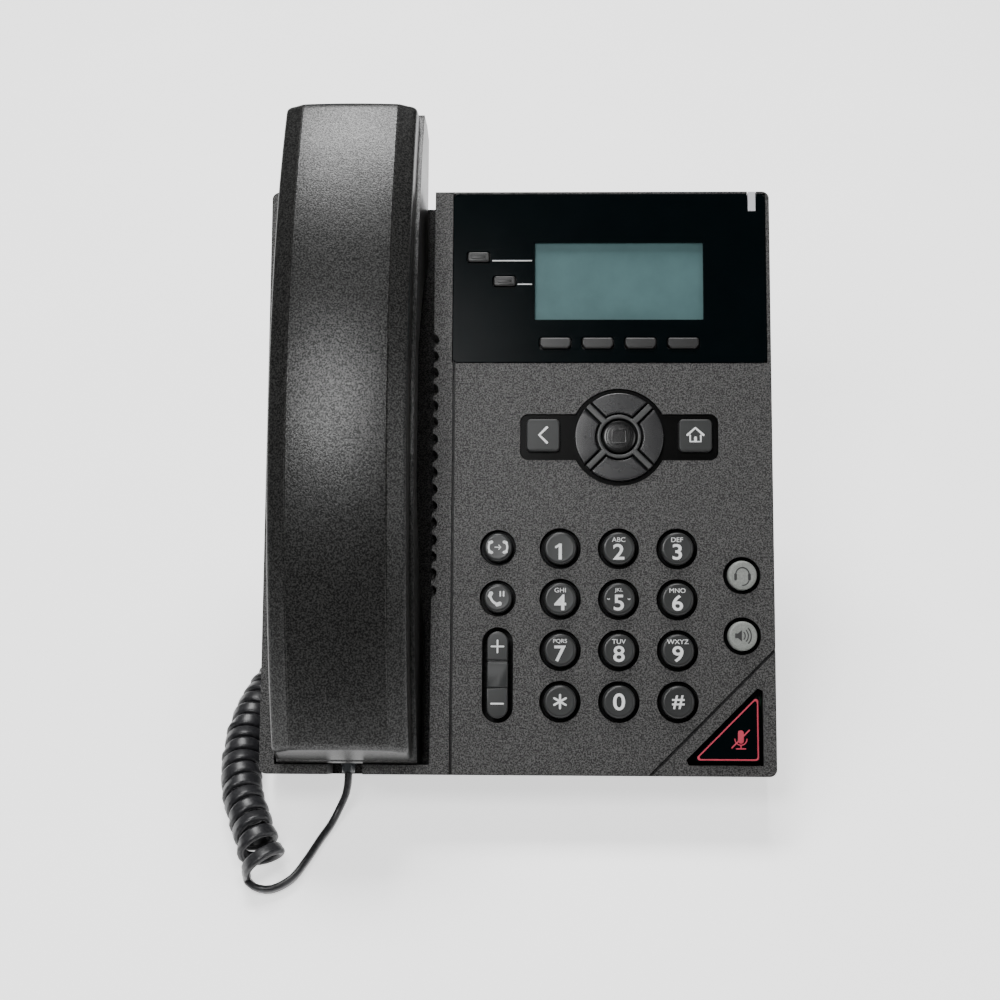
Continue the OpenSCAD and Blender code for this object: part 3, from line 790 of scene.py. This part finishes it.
def call_keys():
    """Transfer and hold keys at the left of the dial keys."""
    u, v = CALL_U, TRANSFER_V
    marks = [
        stroke("arrow", [(u - 1.0, v), (u + 0.9, v)], 0.3),
        stroke("arrow", [(u + 0.3, v + 0.7), (u + 1.0, v), (u + 0.3, v - 0.7)], 0.3),
        handset_icon("phone", u - 2.6, v, 4.2, 0),
        handset_icon("phone", u + 2.6, v, 4.2, 180),
    ]
    round_key("key_transfer", u, v, CALL_R, CALL_BASE_R, KEY, marks, LEGEND)
    v = HOLD_V
    marks = [stroke("pause", [(u + x, v + 0.7), (u + x, v + 2.1)], 0.5) for x in (0.9, 2.0)]
    marks.append(handset_icon("phone", u - 1.2, v - 0.6, 5.4, 40))
    round_key("key_hold", u, v, CALL_R, CALL_BASE_R, KEY, marks, LEGEND)


HEADSET_KEY = (75.1, 66.8)
SPEAKER_KEY = (75.0, 46.5)
PALE_R = 4.35
PALE_BASE_R = 4.95


def pale_keys():
    """Headset and loudspeaker keys at the right."""
    u, v = HEADSET_KEY
    marks = [
        stroke("band", arc(u, v + 0.3, 2.2, -10, 190, 20), 0.42),
        stroke("boom", arc(u, v - 1.3, 2.2, 270, 340, 8), 0.4),
    ]
    for side in (-1, 1):
        marks.append(stroke("pad", [(u + side * 2.3, v - 1.4), (u + side * 2.3, v + 0.1)], 0.95))
    round_key("key_headset", u, v, PALE_R, PALE_BASE_R, KEY_PALE, marks, INK)
    u, v = SPEAKER_KEY
    cone = [
        (u - 2.6, v - 0.8), (u - 1.6, v - 0.8), (u - 0.3, v - 1.9),
        (u - 0.3, v + 1.9), (u - 1.6, v + 0.8), (u - 2.6, v + 0.8),
    ]
    marks = [plate("horn", [cone], CAP_TOP - LEGEND_RISE / 2, CAP_TOP + LEGEND_RISE / 2, 0.01)]
    marks += [stroke("wave", arc(u - 0.9, v, r, -42, 42, 10), 0.4) for r in (1.7, 2.7, 3.7)]
    round_key("key_speaker", u, v, PALE_R, PALE_BASE_R, KEY_PALE, marks, INK)


def stadium(cu, cv, width, height):
    """Outline of an upright slot shape."""
    r = width / 2
    reach = height / 2 - r
    return arc(cu, cv + reach, r, 0, 180) + arc(cu, cv - reach, r, 180, 360)


ROCKER = (-6.7, 33.2)
ROCKER_R = 3.5
ROCKER_HALF = 14.45
ROCKER_TOP = 1.6


def volume_rocker():
    """Volume rocker: one upright bar in three fields, with a plus and a minus."""
    u, v = ROCKER
    r = ROCKER_R
    ends = ROCKER_HALF - r
    top = arc(u, v + ends, r, 0, 180, 16) + [(u - r, v + 4.9), (u + r, v + 4.9)]
    middle = rounded(u - r, u + r, v - 4.25, v + 4.1, 0.25, 3)
    foot = arc(u, v - ends, r, 180, 360, 16) + [(u + r, v - 4.55), (u - r, v - 4.55)]
    parts = [plate("field", [loop], -2.4, ROCKER_TOP, 0.35) for loop in (top, middle, foot)]
    parts.append(plate("core", [stadium(u, v, 2 * r - 0.4, 28.5)], -3.4, 0.6, 0.2))
    piece("volume_rocker_bar", joined("rocker", parts), KEY, "volume_rocker", ["volume_rocker"])
    lines = [
        [(u - 2, v + 9.4), (u + 2, v + 9.4)],
        [(u, v + 7.4), (u, v + 11.4)],
        [(u - 2, v - 9.6), (u + 2, v - 9.6)],
    ]
    marks = [stroke("mark", line, 0.55, ROCKER_TOP) for line in lines]
    piece("volume_rocker_legend", joined("marks", marks), LEGEND, "volume_rocker", ())


MUTE = [(80.2, 5), (80.2, 27.6), (57.6, 5)]
MUTE_RIM = [(0.35, [1.0, 0.8, 0.8]), (0.78, [0.8, 0.6, 0.6])]
MUTE_TOP = 1.4
MICROPHONE = (74.0, 12.2)


def grown(points, reach):
    """Right triangle with each side moved out by a distance."""
    (u, v), (_, top), (left, _) = points
    tip = reach * (1 + math.sqrt(2))
    return [(u + reach, v - reach), (u + reach, top + tip), (left - tip, v - reach)]


def mute_key():
    """Three-cornered mute key with its lit red edge and a crossed microphone."""
    body = round_corners(MUTE, [1.2, 1.0, 1.0])
    cap = plate("mute", [body], FLANGE, MUTE_TOP, 0.35)
    piece("key_mute_cap", cap, GLASS, "key_mute", ["key_mute"])
    rim = [round_corners(grown(MUTE, -inset), radii) for inset, radii in MUTE_RIM]
    u, v = MICROPHONE
    sunk = MUTE_TOP - 0.02
    marks = [
        plate("rim", rim, sunk, MUTE_TOP + 0.04, 0.01),
        plate("head", [stadium(u, v + 0.9, 1.9, 4.4)], sunk, MUTE_TOP + 0.03, 0.01),
        stroke("cradle", arc(u, v + 0.2, 2.0, 180, 360, 16), 0.35, MUTE_TOP),
        stroke("stem", [(u, v - 1.8), (u, v - 2.9)], 0.4, MUTE_TOP),
        stroke("foot", [(u - 1.5, v - 3.0), (u + 1.5, v - 3.0)], 0.4, MUTE_TOP),
        stroke("slash", [(u - 3.0, v - 2.7), (u + 2.8, v + 3.1)], 0.45, MUTE_TOP + 0.02),
    ]
    piece("key_mute_legend", joined("marks", marks), RED, "key_mute", ())


NAV_RING = (7.5, 15.0)
NAV_HOLE_R = 6.3
NAV_BAR_HALF = 1.0
ARC_RING = (8.1, 15.1)
ARC_GAP = 1.65
NIB_R = 11.6
NAV_TOP = 1.2
KEY_FOOT = FLANGE - FLANGE_D
NAV_WELL_HALF = (33.6, 7.95)
NAV_WELL_R = 16.75
NAV_WELL_CORNER = 2.8


def post(name, u, v, r, top, steps=24):
    """Round post under a key, its upper end hidden inside the key."""
    return lathe(name, [(0, POST_END), (r, POST_END), (r, top)], u, v, steps)


def nav_sector(turn, r0, r1, gap):
    """Quarter of a ring between two crossed bars, opening to one side."""
    outer = math.degrees(math.asin(gap / r1))
    inner = math.degrees(math.asin(gap / r0))
    return (
        arc(*NAV, r1, turn - 45 + outer, turn + 45 - outer, 14)
        + arc(*NAV, r0, turn + 45 - inner, turn - 45 + inner, 14)
    )


def nav_cross(r0, r1, half):
    """Outline of a ring with four bars standing out of it."""
    out = []
    inner = math.degrees(math.asin(half / r0))
    outer = math.degrees(math.asin(half / r1))
    for turn in (45, 135, 225, 315):
        out += arc(*NAV, r1, turn - outer, turn + outer, 4)
        out += arc(*NAV, r0, turn + inner, turn + 90 - inner, 12)
    return out


def nav_well(gap):
    """Outline of the sunk place for the navigation keys, drawn in by a gap."""
    half_u, half_v = NAV_WELL_HALF[0] - gap, NAV_WELL_HALF[1] - gap
    r = NAV_WELL_R - gap
    c = NAV_WELL_CORNER - gap
    edge = math.degrees(math.asin(half_v / r))
    left, right = NAV[0] - half_u, NAV[0] + half_u
    low, high = NAV[1] - half_v, NAV[1] + half_v
    return (
        arc(*NAV, r, edge, 180 - edge, 24)
        + arc(left + c, high - c, c, 90, 180, 8)
        + arc(left + c, low + c, c, 180, 270, 8)
        + arc(*NAV, r, 180 + edge, 360 - edge, 24)
        + arc(right - c, low + c, c, 270, 360, 8)
        + arc(right - c, high - c, c, 0, 90, 8)
    )


def navigation():
    """Navigation disc: sunk near-black base (partly painted shade), crossed bars, four arc keys, OK key,
    back and home keys.
    """
    # The base is near black, partly as painted shade in the sunk navigation well.
    base = plate("nav_base", [nav_well(0.12)], -2.4, -1.0, 0.1)
    piece("nav_base", base, WELL_SHADE, "base", ["nav_frame"])
    cross = plate("cross", [nav_cross(*NAV_RING, NAV_BAR_HALF), circle(*NAV, NAV_HOLE_R)], -1.1, 1.5, 0.3)
    piece("nav_cross", cross, KEY_BAR, "base", ())
    for name, turn in (("nav_right", 0), ("nav_up", 90), ("nav_left", 180), ("nav_down", 270)):
        cap = plate(name, [nav_sector(turn, *ARC_RING, ARC_GAP)], KEY_FOOT, NAV_TOP, 0.5)
        at = turned([(NIB_R, 0)], *NAV, turn)[0]
        nib = lathe(name, [(0.45, 1.1), (0.4, 1.32), (0.2, 1.42), (0, 1.45)], *at, 20)
        parts = [cap, nib, post(name, *at, 1.8, KEY_FOOT + 0.1)]
        piece(name + "_cap", joined(name, parts), KEY_ARC, name, [name])
    top = NAV_TOP
    profile = [
        (0, POST_END), (POST_R, POST_END), (POST_R, KEY_FOOT), (5.7, KEY_FOOT), (5.7, 0.5),
        (5.45, top - 0.25), (5.0, top - 0.05), (4.6, top), (4.5, top - 0.25), (4.35, top - 0.25),
        (4.2, top), (3.6, top + 0.05), (0, top),
    ]
    square = plate("square", [around(*NAV, 2.6, 2.6, 0.9), around(*NAV, 2.05, 2.05, 0.6)], 1.1, 1.5, 0.12)
    centre = joined("ok", [lathe("ok", profile, *NAV), square])
    piece("nav_ok_cap", centre, NAV_OK, "nav_ok", ["nav_ok"])
    side_keys()


def side_keys():
    """Back and home keys at the two sides of the navigation disc."""
    v = SIDE_KEY_V
    back, home = NAV[0] - SIDE_REACH, NAV[0] + SIDE_REACH
    for name, u in (("key_back", back), ("key_home", home)):
        cap = plate(name, [around(u, v, 5.65, 5.55, 1.6)], FLANGE, NAV_TOP, 0.55)
        parts = [cap, post(name, u, v, POST_R, FLANGE + 0.1)]
        piece(name + "_cap", joined(name, parts), KEY_SIDE, name, [name])
    bent = [(back + 1.3, v + 2.6), (back - 1.3, v), (back + 1.3, v - 2.6)]
    chevron = stroke("chevron", bent, 0.85, NAV_TOP)
    piece("key_back_legend", chevron, LEGEND, "key_back", ())
    wall_line = [(home - 1.8, v - 0.1), (home - 1.8, v - 2.2), (home + 1.8, v - 2.2), (home + 1.8, v - 0.1)]
    house = [
        stroke("roof", [(home - 2.7, v + 0.1), (home, v + 2.5), (home + 2.7, v + 0.1)], 0.75, NAV_TOP),
        stroke("walls", wall_line, 0.6, NAV_TOP),
        stroke("door", [(home, v - 2.0), (home, v - 0.9)], 0.95, NAV_TOP + 0.01),
    ]
    piece("key_home_legend", joined("home", house), LEGEND, "key_home", ())


# ---------------------------------------------------------------- display

SCREEN_U = (5.3, 63.1)
SCREEN_V = (154.7, 182.0)
SOFT_U = [12.4, 26.9, 41.5, 56.1]
SOFT_V = 146.4
LINE_KEYS = [("line_key_1", -14.1, 176.7), ("line_key_2", -5.1, 168.2)]
LIGHT_U = (78.7, 81.3)
LIGHT_V = 192.8
PANEL_U = (-22.8, 84.5)
PANEL_V = (139.7, 199.1)
PANEL_TOP = 0.2
SCREEN_LAP = 1
SCREEN_BACK = -3.9
LINE_STARTS = [(-9.4, 175.3), (-0.7, 166.95)]
LINE_END_U = 4.35
LINE_W = 0.35


def display():
    """Black panel with its window, the screen behind it, the printed lines and the message light."""
    left, right = PANEL_U
    low, high = PANEL_V
    notch_left, notch_right = LIGHT_U[0] - 0.3, LIGHT_U[1] + 0.3
    outline = [
        (left, low + 1.2), (left, high - 1.0), (left + 1.0, high),
        (notch_left, high), (notch_left, LIGHT_V), (notch_right, LIGHT_V), (notch_right, high),
        (right - 1.2, high), (right, high - 1.2), (right, low + 1.2), (right - 1.2, low), (left + 1.2, low),
    ]
    holes = [around(u, SOFT_V, 5.6, 2.1, 1.2) for u in SOFT_U]
    holes += [around(u, v, 4.05, 1.95, 1.0) for _, u, v in LINE_KEYS]
    holes.append(rounded(*SCREEN_U, *SCREEN_V, 0.3, 3))
    panel = plate("panel", [outline] + holes, -1.4, PANEL_TOP, 0.18)
    piece("display_panel", panel, GLASS, "base", ["display_glass"])
    lap = SCREEN_LAP
    window = rounded(SCREEN_U[0] - lap, SCREEN_U[1] + lap, SCREEN_V[0] - lap, SCREEN_V[1] + lap, 0.3, 3)
    screen = plate("screen", [window], SCREEN_BACK, -1.45, 0.05)
    backing = plate("backing", [rounded(0.2, 68.2, 151.4, 185.3, 0.5, 3)], -7.4, SCREEN_BACK, 0.1)
    piece("lcd_screen", screen, SCREEN, "base", ["lcd_module"])
    piece("lcd_backing", backing, STEEL, "base", ())
    lines = []
    for u, v in LINE_STARTS:
        line = rounded(u, LINE_END_U, v, v + LINE_W, 0.1, 2)
        lines.append(plate("line", [line], PANEL_TOP - 0.02, PANEL_TOP + 0.04, 0.01))
    piece("panel_lines", joined("lines", lines), LEGEND, "base", ())
    top_v = BODY_H - 0.1
    front = plate("front", [rounded(*LIGHT_U, LIGHT_V + 0.2, top_v, 0.3, 3)], -2, 0.3, 0.15)
    top = plate("top", [rounded(*LIGHT_U, BODY_H - 2, top_v, 0.3, 3)], -10, -1.9, 0.15)
    guide = joined("light", [front, top])
    piece("message_light_guide", guide, LIGHT, "base", ["message_light"])


def panel_keys():
    """Two line keys beside the screen and four soft keys under it."""
    for name, u, v in LINE_KEYS:
        cap = plate(name, [around(u, v, 3.75, 1.7, 0.9)], FLANGE, 0.75, 0.45)
        bar = plate(name, [around(u, v + 0.05, 2.5, 0.62, 0.6)], 0.6, 1.0, 0.15)
        flange_and_post(name, u, v, [cap, bar], 4.6, 2.5)
    for i, u in enumerate(SOFT_U):
        name = f"soft_key_{i + 1}"
        high, shoulder, low = SOFT_V + 1.85, SOFT_V - 0.6, SOFT_V - 1.85
        corners = [
            (u + 5.3, high), (u - 5.3, high), (u - 5.3, shoulder),
            (u - 4.2, low), (u + 4.2, low), (u + 5.3, shoulder),
        ]
        cap = plate(name, [round_corners(corners, [0.8, 0.8, 0.5, 0.5, 0.5, 0.5], 4)], FLANGE, 1.0, 0.5)
        flange_and_post(name, u, SOFT_V, [cap], 6.1, 2.65)


def flange_and_post(name, u, v, parts, half_u, half_v):
    """Small key of its cap's parts, a flange and a post."""
    parts.append(plate(name, [around(u, v, half_u, half_v, 0.3, 2)], KEY_FOOT, FLANGE + 0.05, 0.1))
    parts.append(post(name, u, v, 1.5, KEY_FOOT + 0.1, 20))
    piece(name + "_cap", joined(name, parts), KEY_PANEL, name, [name])


# ---------------------------------------------------------------- handset

ARCH_MID_V = 116
ARCH_TOP_W = 45
ARCH_RISE = 28
ARCH_HALF = 112
ARCH_R = (ARCH_HALF ** 2 + ARCH_RISE ** 2) / (2 * ARCH_RISE)
ARCH_MID_W = ARCH_TOP_W - ARCH_R
PART_DEPTH = 13
LOWER_END = 3.7
LOWER_LEAN = 0.2333
UPPER_END = 227.5
UPPER_LEAN = 0.0571
CROWN_U = -57.2
CROWN_DROP = 0.95
CREASE_HALF = 16.15
COVER_HALF = 22.45
COVER_LENGTH = 220
COVER_STEPS = 60
LOWER_ROUND = 1.6
UPPER_ROUND = 2.4


def arch(v, depth=0.0):
    """Height of the handset's arched back at a place along it, or of the line a depth below it."""
    return ARCH_MID_W + math.sqrt((ARCH_R - depth) ** 2 - (v - ARCH_MID_V) ** 2)


def along_handset(share, w):
    """Place up the face at a share of the handset's length, between its two leaning ends."""
    first = LOWER_END + LOWER_LEAN * max(w, 0)
    last = UPPER_END - UPPER_LEAN * (w + 10)
    return first + (last - first) * share


def cover_ring(share, inset, drop):
    """Section of the handset's arched cover, drawn in towards its ends by an inset and a drop."""
    v = along_handset(share, arch(along_handset(share, 30)))
    top = arch(v) - drop
    floor = arch(v, PART_DEPTH) + 0.1
    half = CREASE_HALF
    edge = COVER_HALF - inset
    crown = [(half * k / 8, CROWN_DROP * (k / 8) ** 2) for k in range(8)]
    side = [
        (half - 0.25, CROWN_DROP), (half, 1.22), (half + 0.3, 1.08), (edge - 1.6, 3.5), (edge - 0.7, 3.95),
        (edge - 0.2, 4.6), (edge, 5.6), (edge + 0.2, top - floor),
    ]
    right = [(CROWN_U + x, top - down) for x, down in crown + side]
    left = [(CROWN_U - x, top - down) for x, down in reversed(crown[1:] + side)]
    return [(u, along_handset(share, w), w) for u, w in left + right]


def handset_cover():
    """Arched cover, with rounded ends."""
    rings = []
    for k in range(5):
        a = math.radians(90 * k / 4)
        back, inset = LOWER_ROUND * (1 - math.cos(a)), LOWER_ROUND * (1 - math.sin(a))
        rings.append(cover_ring(back / COVER_LENGTH, inset, inset))
    rings += [cover_ring(k / COVER_STEPS, 0, 0) for k in range(1, COVER_STEPS)]
    for k in range(6):
        a = math.radians(90 * (1 - k / 5))
        back, inset = UPPER_ROUND * (1 - math.cos(a)), UPPER_ROUND * (1 - math.sin(a))
        rings.append(cover_ring(1 - back / COVER_LENGTH, inset, 1 - math.sin(a)))
    mesh = loft("cover", rings)
    piece("handset_cover_shell", mesh, HANDSET, "handset", ["handset_cover"], angle=30)


# ---------------------------------------------------------------- CAD nodes that keep their shape

WELD_WITHIN = 1e-6
FLAT_WITHIN = 1
SHARP_FROM = 30


def refine(name, material, edge):
    """CAD node with its coplanar facets joined, its sharp edges rounded and a finish."""
    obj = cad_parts[name]
    if not obj.data.materials:
        obj.data.materials.append(material)
    for place in range(len(obj.material_slots)):
        obj.material_slots[place].link = "OBJECT"
        obj.material_slots[place].material = material
    weld = obj.modifiers.new("weld", "WELD")
    weld.merge_threshold = WELD_WITHIN
    flat = obj.modifiers.new("flat", "DECIMATE")
    flat.decimate_type = "DISSOLVE"
    flat.angle_limit = math.radians(FLAT_WITHIN)
    bevel = obj.modifiers.new("bevel", "BEVEL")
    bevel.width = edge * MM
    bevel.segments = 2
    bevel.limit_method = "ANGLE"
    bevel.angle_limit = math.radians(SHARP_FROM)
    bevel.harden_normals = True


# ---------------------------------------------------------------- studio

FLOOR_REACH = 10
FLOOR_GLOW = 1.4
WORLD_GLOW = 0.13


def make_floor():
    """Pale floor under the phone, which glows a little so that it stays even."""
    material, nodes, links, bsdf = shader("floor", grey(0.86), 0.7)
    at = nodes.new("ShaderNodeTexCoord")
    broad = noise(nodes, links, at, 8, 3)
    tone = ramp(nodes, links, broad.outputs["Fac"], 0.3, 0.7, grey(0.85), grey(0.88))
    links.new(tone.outputs["Color"], bsdf.inputs["Base Color"])
    links.new(tone.outputs["Color"], bsdf.inputs["Emission Color"])
    bsdf.inputs["Emission Strength"].default_value = FLOOR_GLOW
    mesh = bpy.data.meshes.new("floor")
    reach = FLOOR_REACH
    corners = [(-reach, -reach, 0), (reach, -reach, 0), (reach, reach, 0), (-reach, reach, 0)]
    mesh.from_pydata(corners, [], [(0, 1, 2, 3)])
    mesh.materials.append(material)
    add_object("floor", mesh)


def soft_light(name, place, target, size, power):
    """Rectangular area light aimed at a point."""
    data = bpy.data.lights.new(name, "AREA")
    data.shape = "RECTANGLE"
    data.size, data.size_y = size
    data.energy = power
    obj = add_object(name, data)
    obj.location = place
    obj.rotation_euler = (Vector(target) - Vector(place)).to_track_quat("-Z", "Y").to_euler()


def make_world():
    """Even pale surroundings."""
    world = bpy.data.worlds.new("studio")
    bpy.context.scene.world = world
    world.use_nodes = True
    background = world.node_tree.nodes["Background"]
    background.inputs["Color"].default_value = (1, 1, 1, 1)
    background.inputs["Strength"].default_value = WORLD_GLOW


def paint_studio():
    """Floor, surroundings and the soft lights."""
    make_floor()
    make_world()
    soft_light("light_top", (-0.1, 0.62, 1.15), (0, 0.05, 0.1), (0.7, 0.4), 22)
    soft_light("light_right", (0.95, -0.5, 0.75), (0, 0, 0.1), (0.6, 0.6), 3)
    above, handset = FACE @ Vector((-140, 235, 620)), FACE @ Vector((-56, 116, 30))
    soft_light("light_handset", above, handset, (0.2, 0.2), 2.6)


paint_studio()

dial_keys()
call_keys()
pale_keys()
volume_rocker()
mute_key()
navigation()
display()
panel_keys()
handset_cover()

for cad_name in ("front_housing", "cradle"):
    refine(cad_name, SHELL, 0.2)
for cad_name in ("rear_housing", "desk_stand"):
    refine(cad_name, BACK, 0.5)
refine("hook_plunger", BACK, 0.3)
refine("handset_face", HANDSET, 0.8)
refine("rubber_feet", RUBBER, 0.5)
refine("keypad_mat", RUBBER, 0.2)
refine("main_board", BOARD, 0.1)
refine("loudspeaker", CONNECTOR, 0.3)
refine("receiver_capsule", CONNECTOR, 0.3)
for cad_name in ("microphone", "housing_screws", "handset_microphone", "handset_screws"):
    refine(cad_name, STEEL, 0.12)
refine("network_jacks", STEEL, 0.2)
for cad_name in ("cord_jacks", "power_jack", "handset_socket"):
    refine(cad_name, CONNECTOR, 0.2)
for cad_name in ("plug_handset", "plug_base"):
    refine(cad_name, PLUG, 0.3)
